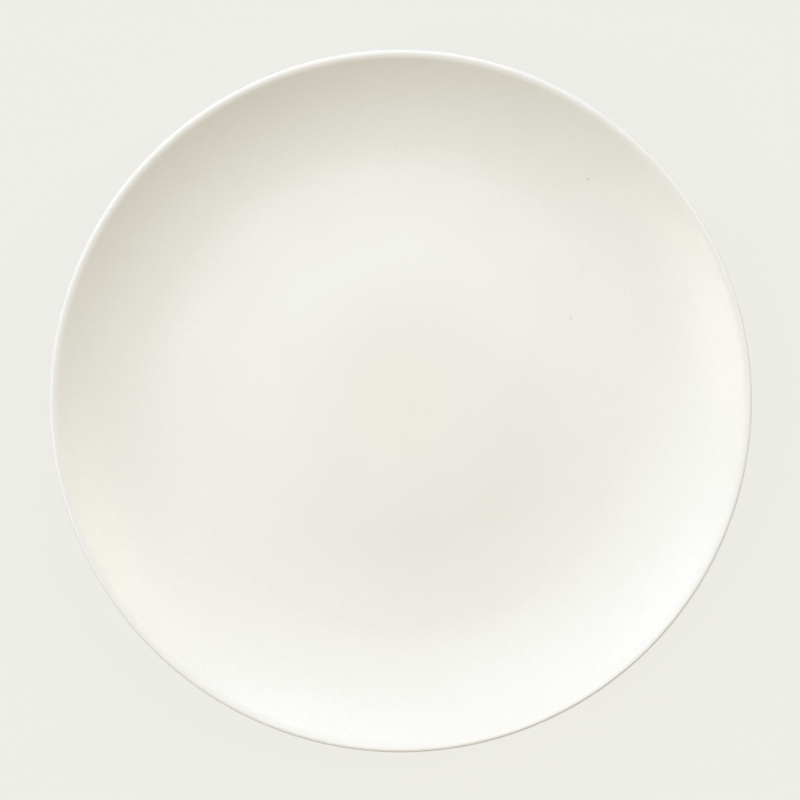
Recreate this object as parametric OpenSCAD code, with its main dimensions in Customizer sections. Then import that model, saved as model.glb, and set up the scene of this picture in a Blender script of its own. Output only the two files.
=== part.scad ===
// Coupe dinner plate: a round plate of glazed stoneware without a separate rim. The eating surface
// is level in the middle, falls a little to a low ring just outside the foot, bends up there and
// sweeps in one long curve to a rounded lip. The plate is turned about Z, so one half section makes
// each piece. The origin is on the axis, at the level on which the foot stands. Lengths are in
// millimetres.
// The sizes of the eating surface, the lip and the underside are those of the finished, glazed
// plate, and the sizes of the foot are those of its bare clay.

/* [Plate] */
// Diameter over the lip
plate_d = 270; // [250:1:300]
// Height from the table to the top of the lip
plate_h = 23; // [20:0.5:30]
// Thickness of the floor above the foot, glaze included
floor_t = 5; // [3.5:0.1:6.5]

/* [Eating surface] */
// Diameter of the level middle
middle_d = 38; // [10:1:80]
// Diameter at which the fall from the middle is steepest
steepest_d = 112; // [90:1:130]
// How far outside the middle of the foot ring the fall ends, in the low ring
low_ring_out = 7; // [-8:0.5:8]
// Width of the level stretch from there to the start of the wall
low_ring_w = 1.5; // [1:0.5:10]
// Height of the level middle above the low ring
crown_rise = 4.5; // [0.4:0.1:5]
// Radius of the bend at the start of the wall, as a share of the radius of a wall without a bend
bend_radius_share = 0.85; // [0.6:0.01:1]
// Share of the wall's slope that is reached in the bend
bend_slope_share = 0.3; // [0.1:0.01:0.6]

/* [Lip] */
// Radius of the lip's rounding from its crest towards the eating surface
lip_inner_r = 3; // [1.5:0.1:5]
// Radius of the wider rounding that eases the wall into the lip
lip_ease_r = 6.5; // [5:0.1:15]
// Slope of the surface where the two roundings meet, in degrees
lip_ease_slope = 17; // [5:1:25]
// Radius of the lip's rounding towards the outside
lip_outer_r = 1.4; // [1:0.1:2]

/* [Foot] */
// Diameter of the foot ring, at the middle of its width
foot_d = 160; // [140:1:170]
// Width of the foot ring at the table, roundings included
foot_w = 4.4; // [3:0.1:8]
// Height of the foot ring, from the table to the glazed base
foot_h = 3.4; // [2.6:0.1:5]
// Lean of the foot ring's two flanks, in degrees
foot_draft = 14; // [0:1:25]
// Radius of the rounding on the foot ring's two edges
foot_edge_r = 0.9; // [0.3:0.1:1.2]
// Radius of the hollow between the foot ring's flanks and the glazed underside
foot_fillet_r = 1.8; // [0.5:0.1:3]
// Height of the hollowed base at the axis above its edge by the foot ring
base_rise = 3.8; // [0.5:0.1:4.5]

/* [Glaze] */
// Thickness of the glaze
glaze_t = 0.4; // [0.3:0.05:0.7]
// Height above the table at which the glaze stops on the foot ring's flanks
glaze_line_h = 1.4; // [1:0.1:2]

/* [Smoothness] */
// Facets of a full turn
turn_facets = 180; // [96:4:240]
// Straight stretches that stand for a long curve of the section
sweep_steps = 24; // [12:1:40]
// Straight stretches that stand for a quarter rounding of the section
edge_steps = 8; // [4:1:12]

/* [Hidden] */
$fn = turn_facets;

glaze_colour = [0.93, 0.91, 0.86];
clay_colour = [0.84, 0.77, 0.66];

// Height of the low ring and of the level middle
low_z = foot_h + floor_t;
middle_z = low_z + crown_rise;

// Radii at which the level middle ends, the fall is steepest, the fall ends and the wall starts
middle_x = middle_d / 2;
steepest_x = steepest_d / 2;
low_ring_x = foot_d / 2 + low_ring_out;
wall_start_x = low_ring_x + low_ring_w;

// Unit vector at an angle, the angle of a vector, and a list turned end for end
function heading(angle) = [cos(angle), sin(angle)];
function angle_of(v) = atan2(v[1], v[0]);
function reversed(points) = [for (i = [len(points) - 1:-1:0]) points[i]];

// Directions in the half section: away from the axis, up, towards the axis and down
outward = angle_of([1, 0]);
upward = angle_of([0, 1]);
inward = angle_of([-1, 0]);
downward = angle_of([0, -1]);

// Points of an arc after its start, because each stretch starts where the last one ended
function arc(centre, radius, from, to, steps) =
    [for (i = [1:steps]) centre + radius * heading(from + (to - from) * i / steps)];

// Radius of the arc that leaves the point start at right angles to a unit normal and then touches a
// circle. The side is 1 where the two circles lie outside each other, and -1 where the arc's own
// circle holds the other.
function sweep_radius(start, normal, centre, radius, side) =
    let (v = centre - start)
    (v * v - radius * radius) / (2 * (v * normal + side * radius));

// Where a line from a point along a unit direction crosses a circle: side -1 gives the first
// crossing and 1 the second
function crossing(point, direction, centre, radius, side) =
    let (v = point - centre, along = v * direction)
    point + (side * sqrt(along * along - v * v + radius * radius) - along) * direction;

// The fall from the level middle: an arc that curves down to the steepest ring, and one that
// curves back to level at the low ring, which meet at the same slope
fall_angle = 2 * atan(crown_rise / (low_ring_x - middle_x));
crown_r = (steepest_x - middle_x) / sin(fall_angle);
crown_c = [middle_x, middle_z - crown_r];
valley_r = (low_ring_x - steepest_x) / sin(fall_angle);
valley_c = [low_ring_x, low_z + valley_r];

// The lip: an inner and an outer rounding that share the crest line, and the wider rounding that
// carries the inner one on towards the wall
crest_x = plate_d / 2 - lip_outer_r;
lip_outer_c = [crest_x, plate_h - lip_outer_r];
lip_inner_c = [crest_x, plate_h - lip_inner_r];
ease_angle = upward + lip_ease_slope;
lip_ease_c = lip_inner_c - (lip_ease_r - lip_inner_r) * heading(ease_angle);

// A wall without a bend: the one arc from the low ring to the lip's wider rounding
wall_start = [wall_start_x, low_z];
plain_r = sweep_radius(wall_start, heading(upward), lip_ease_c, lip_ease_r, 1);
plain_end_angle = angle_of(lip_ease_c - wall_start - [0, plain_r]);

// The bend, which leaves the low ring level, and the wall, one arc that runs on from the bend into
// the lip's wider rounding
bend_r = bend_radius_share * plain_r;
bend_slope = bend_slope_share * (plain_end_angle - downward);
bend_c = wall_start + [0, bend_r];
bend_end = bend_c + bend_r * heading(downward + bend_slope);
wall_normal = heading(upward + bend_slope);
wall_r = sweep_radius(bend_end, wall_normal, lip_ease_c, lip_ease_r, 1);
wall_c = bend_end + wall_r * wall_normal;
wall_end_angle = angle_of(lip_ease_c - wall_c);

// The foot ring: its edges, and the directions out of and up each flank
foot_outer_x = foot_d / 2 + foot_w / 2;
foot_inner_x = foot_d / 2 - foot_w / 2;
outer_edge_c = [foot_outer_x - foot_edge_r, foot_edge_r];
inner_edge_c = [foot_inner_x + foot_edge_r, foot_edge_r];
outer_out = heading(outward - foot_draft);
inner_out = heading(inward + foot_draft);
outer_up = heading(upward - foot_draft);
inner_up = heading(upward + foot_draft);

// The underside: one arc that leaves the foot ring level and runs into the lip's outer rounding
under_start = [foot_outer_x, foot_h];
under_r = sweep_radius(under_start, heading(upward), lip_outer_c, lip_outer_r, -1);
under_c = under_start + [0, under_r];
under_end_angle = angle_of(lip_outer_c - under_c);

// The base: a shallow hollow inside the foot ring
base_r = (foot_inner_x * foot_inner_x + base_rise * base_rise) / (2 * base_rise);
base_c = [0, foot_h + base_rise - base_r];

// The hollows at the foot ring's roots touch a flank and the underside or the base, and are no
// larger than the glazed height of the flank
root_r = min(foot_fillet_r, foot_h - glaze_line_h);
flank_to_root = foot_edge_r + glaze_t + root_r;
outer_root_c = crossing(outer_edge_c + flank_to_root * outer_out, outer_up,
                        under_c, under_r + root_r, -1);
inner_root_c = crossing(inner_edge_c + flank_to_root * inner_out, inner_up,
                        base_c, base_r - root_r, 1);
under_start_angle = angle_of(outer_root_c - under_c);
base_end_angle = angle_of(inner_root_c - base_c);

// Point at which the glaze stops on a flank, at a depth below the glazed surface
function glaze_line(edge_c, out, up, depth) =
    let (level = edge_c + (foot_edge_r + glaze_t - depth) * out)
    level + (glaze_line_h - level[1]) / up[1] * up;

// Section of the surface that the eye sees, at a depth below the glazed surface: from the axis
// across the eating surface, over the lip and back under the plate to the foot ring's outer flank
function main_surface(depth) = concat(
    [[0, middle_z - depth], [middle_x, middle_z - depth]],
    arc(crown_c, crown_r - depth, upward, upward - fall_angle, sweep_steps / 2),
    arc(valley_c, valley_r + depth, downward - fall_angle, downward, sweep_steps / 2),
    [wall_start - [0, depth]],
    arc(bend_c, bend_r + depth, downward, downward + bend_slope, sweep_steps / 2),
    arc(wall_c, wall_r + depth, downward + bend_slope, wall_end_angle, sweep_steps),
    arc(lip_ease_c, lip_ease_r - depth, inward + wall_end_angle, ease_angle, edge_steps),
    arc(lip_inner_c, lip_inner_r - depth, ease_angle, upward, edge_steps),
    arc(lip_outer_c, lip_outer_r - depth, upward, outward, edge_steps),
    arc(lip_outer_c, lip_outer_r - depth, outward, under_end_angle, edge_steps),
    arc(under_c, under_r - depth, under_end_angle, under_start_angle, sweep_steps),
    arc(outer_root_c, root_r + depth, inward + under_start_angle, inward - foot_draft, edge_steps),
    [glaze_line(outer_edge_c, outer_out, outer_up, depth)]
);

// Section of the surface inside the foot ring, from the axis to its inner flank
function base_surface(depth) = concat(
    [base_c + [0, base_r + depth]],
    arc(base_c, base_r + depth, upward, base_end_angle, sweep_steps / 2),
    arc(inner_root_c, root_r + depth, base_end_angle, outward + foot_draft, edge_steps),
    [glaze_line(inner_edge_c, inner_out, inner_up, depth)]
);

// Section of the dry foot between the two glaze lines: two rounded edges and the standing face
foot_surface = concat(
    [outer_edge_c + foot_edge_r * outer_out],
    arc(outer_edge_c, foot_edge_r, outward - foot_draft, downward, edge_steps),
    [[inner_edge_c[0], 0]],
    arc(inner_edge_c, foot_edge_r, downward, foot_draft - inward, edge_steps)
);

// The fired clay, with the foot ring in one piece with it
module stoneware_body() {
    color(clay_colour)
        rotate_extrude()
            polygon(concat(main_surface(glaze_t), foot_surface, reversed(base_surface(glaze_t))));
}

// The coat on the eating surface, over the lip and under the plate down to the foot ring
module glaze_coat() {
    color(glaze_colour)
        rotate_extrude()
            polygon(concat(main_surface(0), reversed(main_surface(glaze_t))));
}

// The coat on the base inside the foot ring
module base_glaze() {
    color(glaze_colour)
        rotate_extrude()
            polygon(concat(base_surface(0), reversed(base_surface(glaze_t))));
}

stoneware_body();
glaze_coat();
base_glaze();
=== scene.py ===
"""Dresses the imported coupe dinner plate: turned clay and glaze, a pale floor, soft studio light and a
camera overhead."""
import math

import bmesh
import bpy
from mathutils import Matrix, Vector


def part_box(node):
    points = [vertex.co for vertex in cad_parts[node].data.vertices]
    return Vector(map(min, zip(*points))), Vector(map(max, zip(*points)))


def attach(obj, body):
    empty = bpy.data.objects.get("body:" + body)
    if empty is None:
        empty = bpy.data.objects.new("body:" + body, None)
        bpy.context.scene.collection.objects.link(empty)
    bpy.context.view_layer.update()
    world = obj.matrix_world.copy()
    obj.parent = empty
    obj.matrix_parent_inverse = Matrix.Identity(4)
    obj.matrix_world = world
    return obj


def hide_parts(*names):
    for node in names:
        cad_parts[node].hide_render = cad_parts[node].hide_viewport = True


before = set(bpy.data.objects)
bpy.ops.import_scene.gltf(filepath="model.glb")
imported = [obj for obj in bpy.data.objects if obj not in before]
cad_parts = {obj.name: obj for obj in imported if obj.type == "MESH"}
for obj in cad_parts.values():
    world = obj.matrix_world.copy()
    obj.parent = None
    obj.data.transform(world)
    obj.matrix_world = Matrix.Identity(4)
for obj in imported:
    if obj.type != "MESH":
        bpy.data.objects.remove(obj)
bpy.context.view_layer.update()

# The plate's section, with lengths in metres, and draft and slope in degrees. The overall sizes come
# from the frame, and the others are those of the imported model.
glaze_low, glaze_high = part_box("glaze_coat")
PLATE_RADIUS = glaze_high.x
PLATE_HEIGHT = glaze_high.z
GLAZE_LINE_HEIGHT = glaze_low.z
FLOOR_THICKNESS = 0.005
MIDDLE_RADIUS = 0.019
STEEPEST_RADIUS = 0.056
LOW_RING_RADIUS = 0.087
WALL_START_RADIUS = 0.0885
CROWN_RISE = 0.0045
BEND_RADIUS_SHARE = 0.85
BEND_SLOPE_SHARE = 0.3
LIP_INNER_ROUNDING = 0.003
LIP_EASE_ROUNDING = 0.0065
LIP_EASE_SLOPE = 17
LIP_OUTER_ROUNDING = 0.0014
FOOT_RADIUS = 0.080
FOOT_WIDTH = 0.0044
FOOT_HEIGHT = 0.0034
FOOT_DRAFT = 14
FOOT_EDGE_ROUNDING = 0.0009
FOOT_ROOT_ROUNDING = 0.0018
BASE_RISE = 0.0038
GLAZE_THICKNESS = 0.0004
GLAZE_END_ROUNDING = 0.6 * GLAZE_THICKNESS

# How finely the section and the turn are stepped, and how close two points are to be welded
TURN_STEPS = 288
SWEEP_STEPS = 24
ROUNDING_STEPS = 8
GLAZE_END_STEPS = 4
WELD = 1e-7

# Linear colours of the glaze: the plain cream, the warmer middle and rim, the deeper tone of the
# clouding and the grain, the lip, the painted highlight on two arcs of its crest, and the specks
CREAM = (0.839, 0.821, 0.767)
MIDDLE_CREAM = (0.844, 0.807, 0.738)
RIM_CREAM = (0.838, 0.813, 0.748)
DEEP_CREAM = (0.810, 0.786, 0.722)
LIP_CREAM = (0.833, 0.815, 0.779)
# A painted highlight: the paler cream of two arcs of the lip's crest
PAINTED_HIGHLIGHT_CREAM = (0.930, 0.903, 0.853)
SPECK_CREAM = (0.730, 0.705, 0.640)

# Linear colours of the clay, of what lies beyond the floor, of the floor's paint and of its own look
BARE_CLAY = (0.66, 0.56, 0.43)
SANDY_CLAY = (0.53, 0.44, 0.33)
TOASTED_CLAY = (0.50, 0.37, 0.24)
PALE_GROUND = (0.855, 0.847, 0.807)
FLOOR_PAINT = (0.64, 0.634, 0.604)
FLOOR_GLOW = (0.874, 0.866, 0.825)

# Distances from the plate's axis over which the glaze changes
MIDDLE_FADE = (0.006, 0.045)
GRAIN_FADE = (0.045, 0.090)
RIM_FADE = (0.112, 0.130)
LIP_FADE = (PLATE_RADIUS - 0.0036, PLATE_RADIUS - 0.0014)
# The band of the crest that carries the painted highlight
HIGHLIGHT_CREST_FADE = (PLATE_RADIUS - 0.0010, PLATE_RADIUS - 0.0004)

# Direction of the middle of one of the two arcs of the lip's painted highlight, on the side from which
# most light comes
PAINTED_HIGHLIGHT_ARC = (-0.423, 0.906, 0)

# The glaze's clouding, grain and ripple: their sizes and depths, and how much they show
CLOUD_SIZE = 0.030
CLOUD_SHARE = 0.35
GRAIN_SIZE = 0.0018
GRAIN_DEPTH = 0.0001
GRAIN_SHARE = 0.5
GRAIN_SHARE_MIDDLE = 0.35
RIPPLE_SIZE = 0.012
RIPPLE_DEPTH = 0.00006
GLAZE_ROUGHNESS = (0.36, 0.44)
GLAZE_IOR = 1.5

# The clay's sand, dark grains and toasted line: their sizes and depths, and how much they show
SAND_SIZE = 0.0005
SAND_DEPTH = 0.00013
SAND_ROUGHNESS = 0.65
SAND_SHARE = 0.9
DARK_GRAIN_SPACING = 0.0016
DARK_GRAIN_EDGE = (0.10, 0.16)
DARK_GRAIN_SHARE = 0.8
TOASTED_LINE_WIDTH = 0.0006
TOASTED_PATCH_SIZE = 0.008
CLAY_ROUGHNESS = (0.78, 0.95)

# Spans of the noise, out of 0 to 1, that a pattern draws out to its full strength
STRONG_SPAN = (0.35, 0.65)
SOFT_SPAN = (0.35, 0.75)
ROUGHNESS_SPAN = (0.3, 0.7)

# Where the photograph shows two iron specks in the glaze, in its pixels, and how far from their
# middles they fade out
SPECK_PIXELS = ((588.0, 179.0), (571.0, 319.0))
SPECK_FADE = (0.00035, 0.00077)

# The photograph's framing: its size, the plate's centre and the plate's outer radius, in pixels
FRAME_PIXELS = 800
CENTRE_PIXELS = (400.5, 400.8)
RADIUS_PIXELS = 351.52
LENS_MM = 85
SENSOR_MM = 36

# The lamps: name, azimuth and elevation in degrees, strength and colour
LAMPS = (
    ("cool_window_behind", 70, 30, 0.409, (0.677, 0.767, 1.0)),
    ("cool_window_behind_left", 145, 30, 0.3525, (0.673, 0.822, 1.0)),
    ("warm_screen_right", 25, 37.5, 0.413, (1.0, 0.957, 0.826)),
    ("warm_screen_left", 195, 37.5, 0.490, (1.0, 0.972, 0.937)),
)
LAMP_WIDTH = 30
FILL_COLOUR = (1, 0.92, 0.74)
FILL_STRENGTH = 0.19

# Half the floor's side, and how much of its look is its own under the plate and outside it
FLOOR_REACH = 6
OWN_SHARES = (0.3, 0.93)


def heading(degrees):
    """Unit vector in the section, where x runs out from the axis and z up."""
    angle = math.radians(degrees)
    return Vector((math.cos(angle), 0, math.sin(angle)))


def angle_of(vector):
    """Angle of a vector in the section, in degrees."""
    return math.degrees(math.atan2(vector.z, vector.x))


def sweep_radius(start, normal, centre, radius, side):
    """Radius of the arc that leaves start square to normal and touches a circle. The side is 1 where
    the two circles lie outside each other, and -1 where the arc's own circle holds the other."""
    v = centre - start
    return (v.length_squared - radius * radius) / (2 * (v.dot(normal) + side * radius))


def crossing(point, direction, centre, radius, side):
    """Where a line crosses a circle: side -1 gives the first crossing and 1 the second."""
    v = point - centre
    along = v.dot(direction)
    half_chord = math.sqrt(along * along - v.length_squared + radius * radius)
    return point + (side * half_chord - along) * direction


class Section:
    """What the arcs of the plate's half section need. Names end in _c for a centre, in _r for a radius
    and in _end for the angle at which an arc ends."""

    # The eating surface, from the level middle to the low ring
    low_z = FOOT_HEIGHT + FLOOR_THICKNESS
    middle_z = low_z + CROWN_RISE
    fall_angle = 2 * math.degrees(math.atan(CROWN_RISE / (LOW_RING_RADIUS - MIDDLE_RADIUS)))
    crown_r = (STEEPEST_RADIUS - MIDDLE_RADIUS) / math.sin(math.radians(fall_angle))
    valley_r = (LOW_RING_RADIUS - STEEPEST_RADIUS) / math.sin(math.radians(fall_angle))

    # The lip's two roundings, and the wider one that carries the inner one on towards the wall
    crest_x = PLATE_RADIUS - LIP_OUTER_ROUNDING
    lip_inner_c = Vector((crest_x, 0, PLATE_HEIGHT - LIP_INNER_ROUNDING))
    lip_outer_c = Vector((crest_x, 0, PLATE_HEIGHT - LIP_OUTER_ROUNDING))
    lip_ease_c = lip_inner_c - (LIP_EASE_ROUNDING - LIP_INNER_ROUNDING) * heading(90 + LIP_EASE_SLOPE)

    # The bend and the wall, worked out from the one arc that a wall without a bend would be
    wall_start = Vector((WALL_START_RADIUS, 0, low_z))
    plain_r = sweep_radius(wall_start, heading(90), lip_ease_c, LIP_EASE_ROUNDING, 1)
    plain_slope = angle_of(lip_ease_c - wall_start - plain_r * heading(90)) + 90
    bend_r = BEND_RADIUS_SHARE * plain_r
    bend_slope = BEND_SLOPE_SHARE * plain_slope
    bend_c = wall_start + bend_r * heading(90)
    bend_stop = bend_c + bend_r * heading(bend_slope - 90)
    wall_normal = heading(90 + bend_slope)
    wall_r = sweep_radius(bend_stop, wall_normal, lip_ease_c, LIP_EASE_ROUNDING, 1)
    wall_c = bend_stop + wall_r * wall_normal
    wall_end = angle_of(lip_ease_c - wall_c)

    # The foot ring's edges, and the directions out of and up each flank
    foot_outer_x = FOOT_RADIUS + FOOT_WIDTH / 2
    foot_inner_x = FOOT_RADIUS - FOOT_WIDTH / 2
    outer_edge_c = Vector((foot_outer_x - FOOT_EDGE_ROUNDING, 0, FOOT_EDGE_ROUNDING))
    inner_edge_c = Vector((foot_inner_x + FOOT_EDGE_ROUNDING, 0, FOOT_EDGE_ROUNDING))
    outer_out = heading(-FOOT_DRAFT)
    outer_up = heading(90 - FOOT_DRAFT)
    inner_out = heading(180 + FOOT_DRAFT)
    inner_up = heading(90 + FOOT_DRAFT)

    # The underside, and the hollow of the base inside the foot ring
    under_start = Vector((foot_outer_x, 0, FOOT_HEIGHT))
    under_r = sweep_radius(under_start, heading(90), lip_outer_c, LIP_OUTER_ROUNDING, -1)
    under_c = under_start + under_r * heading(90)
    base_r = (foot_inner_x ** 2 + BASE_RISE ** 2) / (2 * BASE_RISE)
    base_c = Vector((0, 0, FOOT_HEIGHT + BASE_RISE - base_r))

    # The hollows at the foot ring's roots, which touch a flank and the underside or the base
    to_root = FOOT_EDGE_ROUNDING + GLAZE_THICKNESS + FOOT_ROOT_ROUNDING
    outer_root_c = crossing(outer_edge_c + to_root * outer_out, outer_up,
                            under_c, under_r + FOOT_ROOT_ROUNDING, -1)
    inner_root_c = crossing(inner_edge_c + to_root * inner_out, inner_up,
                            base_c, base_r - FOOT_ROOT_ROUNDING, 1)
    lip_end = angle_of(lip_outer_c - under_c)
    under_end = angle_of(outer_root_c - under_c)
    base_end = angle_of(inner_root_c - base_c)


class Outline:
    """A chain of edges in the XZ half plane, drawn with bmesh operators and then turned about Z."""

    def __init__(self):
        self.bm = bmesh.new()
        self.tip = None

    def start(self, point):
        """Starts a new chain at a point, which becomes the tip."""
        self.tip = self.bm.verts.new(point)

    def line(self, point):
        """Draws a straight edge from the tip."""
        made = bmesh.ops.extrude_vert_indiv(self.bm, verts=[self.tip])
        self.tip = made["verts"][0]
        self.tip.co = point

    def arc(self, centre, sweep, steps):
        """Draws an arc from the tip round a centre, through a sweep in degrees."""
        made = bmesh.ops.spin(self.bm, geom=[self.tip], cent=centre, axis=(0, -1, 0), dvec=(0, 0, 0),
                              angle=math.radians(sweep), steps=steps, use_merge=False,
                              use_normal_flip=False, use_duplicate=False)
        self.tip = next(v for v in made["geom_last"] if isinstance(v, bmesh.types.BMVert))

    def turn(self, name):
        """Turns the outline once about Z, closes its seam and poles, and gives the new object."""
        bmesh.ops.remove_doubles(self.bm, verts=self.bm.verts[:], dist=WELD)
        bmesh.ops.spin(self.bm, geom=self.bm.verts[:] + self.bm.edges[:], cent=(0, 0, 0), axis=(0, 0, 1),
                       dvec=(0, 0, 0), angle=2 * math.pi, steps=TURN_STEPS, use_merge=True,
                       use_normal_flip=False, use_duplicate=False)
        bmesh.ops.remove_doubles(self.bm, verts=self.bm.verts[:], dist=WELD)
        bmesh.ops.recalc_face_normals(self.bm, faces=self.bm.faces[:])
        for face in self.bm.faces:
            face.smooth = True
        return into_object(self.bm, name)


def into_object(bm, name):
    """Gives a new object in the scene with the mesh that was modelled."""
    mesh = bpy.data.meshes.new(name)
    bm.to_mesh(mesh)
    bm.free()
    made = bpy.data.objects.new(name, mesh)
    bpy.context.scene.collection.objects.link(made)
    return made


def glaze_line_point(edge_c, out, up, depth):
    """Where the glaze stops on a flank of the foot ring, at a depth below the glazed surface."""
    level = edge_c + (FOOT_EDGE_ROUNDING + GLAZE_THICKNESS - depth) * out
    return level + (GLAZE_LINE_HEIGHT - level.z) / up.z * up


def draw_main_surface(outline, depth):
    """Draws from the axis across the eating surface, over the lip and under the plate to the foot
    ring's outer flank, at a depth below the glazed surface."""
    s = Section
    down = Vector((0, 0, -depth))
    outline.start(Vector((0, 0, s.middle_z)) + down)
    outline.line(Vector((MIDDLE_RADIUS, 0, s.middle_z)) + down)
    outline.arc((MIDDLE_RADIUS, 0, s.middle_z - s.crown_r), -s.fall_angle, SWEEP_STEPS // 2)
    outline.arc((LOW_RING_RADIUS, 0, s.low_z + s.valley_r), s.fall_angle, SWEEP_STEPS // 2)
    outline.line(s.wall_start + down)
    outline.arc(s.bend_c, s.bend_slope, SWEEP_STEPS // 2)
    outline.arc(s.wall_c, s.wall_end + 90 - s.bend_slope, SWEEP_STEPS)
    outline.arc(s.lip_ease_c, LIP_EASE_SLOPE - 90 - s.wall_end, ROUNDING_STEPS)
    outline.arc(s.lip_inner_c, -LIP_EASE_SLOPE, ROUNDING_STEPS)
    outline.arc(s.lip_outer_c, -90, ROUNDING_STEPS)
    outline.arc(s.lip_outer_c, s.lip_end, ROUNDING_STEPS)
    outline.arc(s.under_c, s.under_end - s.lip_end, SWEEP_STEPS)
    outline.arc(s.outer_root_c, -FOOT_DRAFT - s.under_end, ROUNDING_STEPS)
    outline.line(glaze_line_point(s.outer_edge_c, s.outer_out, s.outer_up, depth))


def draw_base_surface(outline, depth):
    """Draws from the axis across the base inside the foot ring to the ring's inner flank, at a depth
    below the glazed surface."""
    s = Section
    outline.start(s.base_c + Vector((0, 0, s.base_r + depth)))
    outline.arc(s.base_c, s.base_end - 90, SWEEP_STEPS // 2)
    outline.arc(s.inner_root_c, FOOT_DRAFT - s.base_end, ROUNDING_STEPS)
    outline.line(glaze_line_point(s.inner_edge_c, s.inner_out, s.inner_up, depth))


def make_coat(name, draw):
    """A coat of glaze: its glazed surface and the one on the clay, joined at the glaze line."""
    outline = Outline()
    draw(outline, 0)
    glazed_end = outline.tip
    draw(outline, GLAZE_THICKNESS)
    outline.bm.edges.new((glazed_end, outline.tip))
    bmesh.ops.bevel(outline.bm, geom=[glazed_end], offset=GLAZE_END_ROUNDING, offset_type="OFFSET",
                    segments=GLAZE_END_STEPS, profile=0.5, material=-1, affect="VERTICES")
    return outline.turn(name)


def make_body():
    """The fired clay: both surfaces below the glaze, and the dry foot between the two glaze lines."""
    s = Section
    outline = Outline()
    draw_main_surface(outline, GLAZE_THICKNESS)
    outline.line(s.outer_edge_c + FOOT_EDGE_ROUNDING * s.outer_out)
    outline.arc(s.outer_edge_c, FOOT_DRAFT - 90, ROUNDING_STEPS)
    outline.line(Vector((s.inner_edge_c.x, 0, 0)))
    outline.arc(s.inner_edge_c, FOOT_DRAFT - 90, ROUNDING_STEPS)
    foot_end = outline.tip
    draw_base_surface(outline, GLAZE_THICKNESS)
    outline.bm.edges.new((foot_end, outline.tip))
    return outline.turn("fired_clay")


class Nodes:
    """Short calls for the nodes of a material or a world."""

    def __init__(self, tree):
        self.tree = tree

    def give(self, node, inputs):
        """Sets inputs of a node, each to a value or to another node's result."""
        for key, value in inputs.items():
            if isinstance(value, bpy.types.NodeSocket):
                self.tree.links.new(value, node.inputs[key])
            else:
                node.inputs[key].default_value = value

    def add(self, kind, inputs, **settings):
        """Adds a node with its settings and inputs."""
        made = self.tree.nodes.new(kind)
        for key, value in settings.items():
            setattr(made, key, value)
        self.give(made, inputs)
        return made

    def numbers(self, operation, first, second):
        """Result of a sum on two numbers."""
        return self.add("ShaderNodeMath", {0: first, 1: second}, operation=operation).outputs["Value"]

    def vectors(self, operation, inputs, result="Vector"):
        """Result of a sum on vectors: its Vector, or its Value where the result is a number."""
        made = self.add("ShaderNodeVectorMath", dict(enumerate(inputs)), operation=operation)
        return made.outputs[result]

    def seen_or_mirrored(self):
        """1 for rays from the camera, mirrored rays and rays through glass, and 0 for others."""
        ray = self.add("ShaderNodeLightPath", {}).outputs
        seen = self.numbers("MAXIMUM", ray["Is Camera Ray"], ray["Is Glossy Ray"])
        return self.numbers("MAXIMUM", seen, ray["Is Transmission Ray"])

    def show(self, output, share, first, second):
        """Mixes two shaders by a share, into the surface of the output node."""
        mixed = self.add("ShaderNodeMixShader", {0: share, 1: first, 2: second})
        self.give(self.tree.nodes[output], {"Surface": mixed.outputs["Shader"]})


class Finish(Nodes):
    """A procedural material, whose patterns follow the place on the piece."""

    def __init__(self, name):
        self.material = bpy.data.materials.new(name)
        self.material.use_nodes = True
        super().__init__(self.material.node_tree)
        self.shader = self.tree.nodes["Principled BSDF"]
        self.place = self.add("ShaderNodeTexCoord", {}).outputs["Object"]

    def flat_place(self):
        """The place on the piece, seen along the plate's axis."""
        return self.vectors("MULTIPLY", [self.place, (1, 1, 0)])

    def radius(self):
        """Distance from the plate's axis."""
        return self.vectors("LENGTH", [self.flat_place()], "Value")

    def cloud(self, size, detail, roughness=0.5):
        """Noise from 0 to 1 whose features are about size across, in metres."""
        inputs = {"Vector": self.place, "Scale": 1 / size, "Detail": detail, "Roughness": roughness}
        return self.add("ShaderNodeTexNoise", inputs).outputs["Fac"]

    def spread(self, value, span, to=(0, 1), **settings):
        """Draws out a span of a value to another span, and holds it beyond the ends."""
        inputs = {"Value": value, "From Min": span[0], "From Max": span[1]}
        inputs.update({"To Min": to[0], "To Max": to[1]})
        return self.add("ShaderNodeMapRange", inputs, **settings).outputs["Result"]

    def blend(self, share, first, second):
        """Blends two colours, each a linear colour or another node's result."""
        inputs = {0: share}
        for key, colour in ((6, first), (7, second)):
            inputs[key] = colour if isinstance(colour, bpy.types.NodeSocket) else (*colour, 1)
        return self.add("ShaderNodeMix", inputs, data_type="RGBA").outputs[2]

    def bump(self, height, depth, **below):
        """Raises the surface by a height from 0 to 1 times a depth, over the Normal of another bump."""
        inputs = {"Height": height, "Distance": depth, "Strength": 1.0, **below}
        return self.add("ShaderNodeBump", inputs).outputs["Normal"]


def speck_places():
    """The two specks on the eating surface, found by following the camera's ray through each pixel."""
    camera = camera_place()
    reach = SENSOR_MM / LENS_MM / FRAME_PIXELS
    places = []
    for across, down in SPECK_PIXELS:
        ray = Vector(((across - FRAME_PIXELS / 2) * reach, (FRAME_PIXELS / 2 - down) * reach, -1))
        _, place, _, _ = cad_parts["glaze_coat"].ray_cast(camera, ray.normalized())
        places.append(place)
    return places


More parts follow.
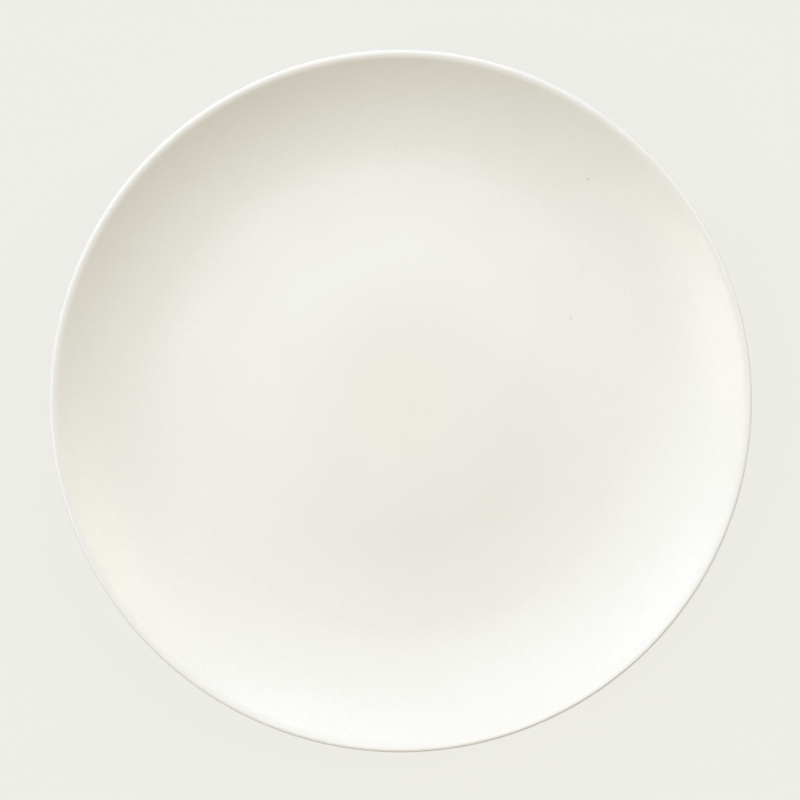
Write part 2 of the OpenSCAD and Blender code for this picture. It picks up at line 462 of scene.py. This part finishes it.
def glaze_finish():
    """Smooth satin cream glaze: faint clouding, a fine grain and a low broad ripple, and two iron
    specks. On the lip it is a little less yellow, and a painted highlight makes it paler on two opposite
    arcs of the crest."""
    f = Finish("satin_cream_glaze")
    radius = f.radius()
    clouding = f.spread(f.cloud(CLOUD_SIZE, detail=3), STRONG_SPAN, (0, CLOUD_SHARE))
    grain = f.cloud(GRAIN_SIZE, detail=2)
    peel = f.numbers("MULTIPLY", grain, f.spread(radius, GRAIN_FADE, (GRAIN_SHARE_MIDDLE, 1)))
    colour = f.blend(f.spread(radius, MIDDLE_FADE), MIDDLE_CREAM, CREAM)
    colour = f.blend(f.spread(radius, RIM_FADE), colour, RIM_CREAM)
    colour = f.blend(clouding, colour, DEEP_CREAM)
    colour = f.blend(f.spread(peel, SOFT_SPAN, (0, GRAIN_SHARE)), colour, DEEP_CREAM)

    on_lip = f.spread(radius, LIP_FADE)
    # Painted highlight: the crest is paler on the two arcs towards and away from the side the light
    # comes from
    highlight_crest = f.numbers("MULTIPLY", on_lip, f.spread(radius, HIGHLIGHT_CREST_FADE, (1, 0)))
    direction = f.vectors("NORMALIZE", [f.flat_place()])
    to_arc = f.vectors("DOT_PRODUCT", [direction, PAINTED_HIGHLIGHT_ARC], "Value")
    painted_highlight = f.numbers("MULTIPLY", highlight_crest, f.numbers("MULTIPLY", to_arc, to_arc))
    colour = f.blend(painted_highlight, f.blend(on_lip, colour, LIP_CREAM), PAINTED_HIGHLIGHT_CREAM)

    for place in speck_places():
        away = f.vectors("DISTANCE", [f.place, place], "Value")
        colour = f.blend(f.spread(away, SPECK_FADE, (1, 0)), colour, SPECK_CREAM)
    ripple = f.bump(f.cloud(RIPPLE_SIZE, detail=1), RIPPLE_DEPTH)
    f.give(f.shader, {"Base Color": colour, "IOR": GLAZE_IOR,
                      "Roughness": f.spread(grain, ROUGHNESS_SPAN, GLAZE_ROUGHNESS),
                      "Normal": f.bump(peel, GRAIN_DEPTH, Normal=ripple)})
    return f.material


def clay_finish():
    """Dry sanded clay: sand, a few dark grains, small pits, and a toasted line along the glaze."""
    f = Finish("dry_sanded_clay")
    sand = f.cloud(SAND_SIZE, detail=4, roughness=SAND_ROUGHNESS)
    colour = f.blend(f.spread(sand, STRONG_SPAN, (0, SAND_SHARE)), BARE_CLAY, SANDY_CLAY)
    grains = f.add("ShaderNodeTexVoronoi", {"Vector": f.place, "Scale": 1 / DARK_GRAIN_SPACING})
    dark = f.spread(grains.outputs["Distance"], DARK_GRAIN_EDGE, (DARK_GRAIN_SHARE, 0))
    colour = f.blend(dark, colour, TOASTED_CLAY)
    height = f.add("ShaderNodeSeparateXYZ", {"Vector": f.place}).outputs["Z"]
    line = f.spread(height, (GLAZE_LINE_HEIGHT - TOASTED_LINE_WIDTH, GLAZE_LINE_HEIGHT))
    toasted = f.numbers("MULTIPLY", line, f.cloud(TOASTED_PATCH_SIZE, detail=3))
    f.give(f.shader, {"Base Color": f.blend(toasted, colour, TOASTED_CLAY),
                      "Roughness": f.spread(sand, ROUGHNESS_SPAN, CLAY_ROUGHNESS),
                      "Normal": f.bump(sand, SAND_DEPTH)})
    return f.material


def floor_finish():
    """A matt pale floor. To the camera most of its look is its own, so that the shadow round the plate
    stays faint. Under the plate less of it is, so that the contact shadow is deep."""
    f = Finish("pale_floor")
    f.give(f.shader, {"Base Color": (*FLOOR_PAINT, 1), "Roughness": 1, "Specular IOR Level": 0})
    plain = f.add("ShaderNodeEmission", {"Color": (*FLOOR_GLOW, 1)})
    own = f.spread(f.radius(), (FOOT_RADIUS, PLATE_RADIUS), OWN_SHARES, interpolation_type="SMOOTHSTEP")
    share = f.numbers("MULTIPLY", f.seen_or_mirrored(), own)
    f.show("Material Output", share, f.shader.outputs["BSDF"], plain.outputs["Emission"])
    return f.material


def add_floor():
    bm = bmesh.new()
    bmesh.ops.create_grid(bm, x_segments=1, y_segments=1, size=FLOOR_REACH)
    floor = into_object(bm, "floor")
    floor.data.materials.append(floor_finish())


def camera_place():
    """Straight over the plate, at the height from which its outer edge fills the photograph's circle."""
    widest_z = PLATE_HEIGHT - LIP_OUTER_ROUNDING
    pixel = PLATE_RADIUS / RADIUS_PIXELS
    distance = pixel * FRAME_PIXELS * LENS_MM / SENSOR_MM
    left = (CENTRE_PIXELS[0] - FRAME_PIXELS / 2) * pixel
    up = (CENTRE_PIXELS[1] - FRAME_PIXELS / 2) * pixel
    return Vector((-left, up, widest_z + distance))


def add_camera():
    data = bpy.data.cameras.new("overhead_camera")
    data.lens = LENS_MM
    data.sensor_width = SENSOR_MM
    camera = bpy.data.objects.new("overhead_camera", data)
    camera.location = camera_place()
    bpy.context.scene.collection.objects.link(camera)
    bpy.context.scene.camera = camera


def add_lamp(name, azimuth, elevation, strength, colour):
    """A lamp that looks LAMP_WIDTH degrees wide. The azimuth turns from +X towards +Y."""
    data = bpy.data.lights.new(name, "SUN")
    data.energy = strength * math.pi
    data.angle = math.radians(LAMP_WIDTH)
    data.color = colour
    lamp = bpy.data.objects.new(name, data)
    lamp.rotation_euler = (math.radians(90 - elevation), 0, math.radians(azimuth + 90))
    bpy.context.scene.collection.objects.link(lamp)


def add_light():
    """The lamps, a dim warm fill from all sides, and the pale surroundings that the camera sees."""
    for lamp in LAMPS:
        add_lamp(*lamp)
    world = bpy.data.worlds.new("studio")
    bpy.context.scene.world = world
    world.use_nodes = True
    w = Nodes(world.node_tree)
    fill = w.tree.nodes["Background"]
    w.give(fill, {"Color": (*FILL_COLOUR, 1), "Strength": FILL_STRENGTH})
    shown = w.add("ShaderNodeBackground", {"Color": (*PALE_GROUND, 1)})
    w.show("World Output", w.seen_or_mirrored(), fill.outputs["Background"], shown.outputs["Background"])


def settle(piece, node, material):
    """Gives a finished piece its material and its body, and hides the imported solid that it stands for.
    """
    piece.data.materials.append(material)
    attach(piece, "root")
    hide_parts(node)


glaze = glaze_finish()
settle(make_coat("face_and_back_glaze", draw_main_surface), "glaze_coat", glaze)
settle(make_coat("foot_well_glaze", draw_base_surface), "base_glaze", glaze)
settle(make_body(), "stoneware_body", clay_finish())
add_floor()
add_light()
add_camera()

scene = bpy.context.scene
scene.view_settings.view_transform = "Standard"
